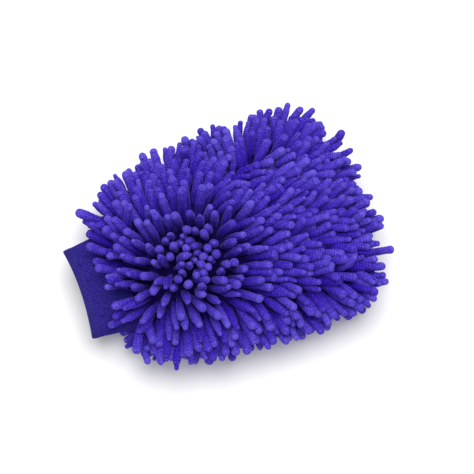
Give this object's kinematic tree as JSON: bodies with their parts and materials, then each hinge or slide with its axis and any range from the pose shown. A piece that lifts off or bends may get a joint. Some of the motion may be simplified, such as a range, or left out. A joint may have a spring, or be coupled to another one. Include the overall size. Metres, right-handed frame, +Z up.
{
  "type": "wash mitt",
  "caption": "Chenille wash mitt: a soft sewn pocket covered on both sides with thick round pile noodles, lined inside, with a short flat knitted elastic cuff.",
  "frame": {"origin": "bottom middle of the mitt's bounding box, on the surface it lies on", "axes": "+Y from the cuff mouth to the fingertips, +X across the mitt, +Z up through the flat side"},
  "size_m": [0.1947, 0.263, 0.0777],
  "materials": {
    "chenille_pile": "soft deep chenille pile, matt with a velvet sheen",
    "backing_knit": "tight warp-knitted polyester backing, matt",
    "lining": "smooth knitted polyester lining, matt",
    "cuff_knit": "fine jersey knit with a ribbed hem, matt",
    "elastic": "woven elastic band, matt",
    "thread": "twisted polyester sewing thread, slight sheen"
  },
  "bodies": {
    "mitt": {"cuff_join_seam": "cuff_knit", "cuff_join_stitches": "thread", "lower_backing": "backing_knit", "lower_lining": "lining", "lower_noodle_row_01": "chenille_pile", "lower_noodle_row_02": "chenille_pile", "lower_noodle_row_03": "chenille_pile", "lower_noodle_row_04": "chenille_pile", "lower_noodle_row_05": "chenille_pile", "lower_noodle_row_06": "chenille_pile", "lower_noodle_row_07": "chenille_pile", "lower_noodle_row_08": "chenille_pile", "lower_noodle_row_09": "chenille_pile", "lower_noodle_row_10": "chenille_pile", "lower_noodle_row_11": "chenille_pile", "lower_noodle_row_12": "chenille_pile", "lower_noodle_row_13": "chenille_pile", "lower_noodle_row_14": "chenille_pile", "lower_noodle_row_15": "chenille_pile", "lower_noodle_row_16": "chenille_pile", "lower_noodle_row_17": "chenille_pile", "lower_noodle_row_18": "chenille_pile", "side_seam_allowance": "backing_knit", "side_seam_stitches": "thread", "upper_backing": "backing_knit", "upper_lining": "lining", "upper_noodle_row_01": "chenille_pile", "upper_noodle_row_02": "chenille_pile", "upper_noodle_row_03": "chenille_pile", "upper_noodle_row_04": "chenille_pile", "upper_noodle_row_05": "chenille_pile", "upper_noodle_row_06": "chenille_pile", "upper_noodle_row_07": "chenille_pile", "upper_noodle_row_08": "chenille_pile", "upper_noodle_row_09": "chenille_pile", "upper_noodle_row_10": "chenille_pile", "upper_noodle_row_11": "chenille_pile", "upper_noodle_row_12": "chenille_pile", "upper_noodle_row_13": "chenille_pile", "upper_noodle_row_14": "chenille_pile", "upper_noodle_row_15": "chenille_pile", "upper_noodle_row_16": "chenille_pile", "upper_noodle_row_17": "chenille_pile", "upper_noodle_row_18": "chenille_pile"},
    "cuff": {"cuff_outer_ply": "cuff_knit", "cuff_inner_ply": "cuff_knit", "cuff_hem": "cuff_knit", "cuff_elastic": "elastic"}
  },
  "joints": [
    {"name": "cuff_flex", "type": "hinge", "parent": "mitt", "child": "cuff", "pos_m": [0, -0.08997, 0.026], "axis": [1, 0, 0], "range_deg": [-15, 22], "stiffness_Nm_per_rad": 0.1}
  ]
}
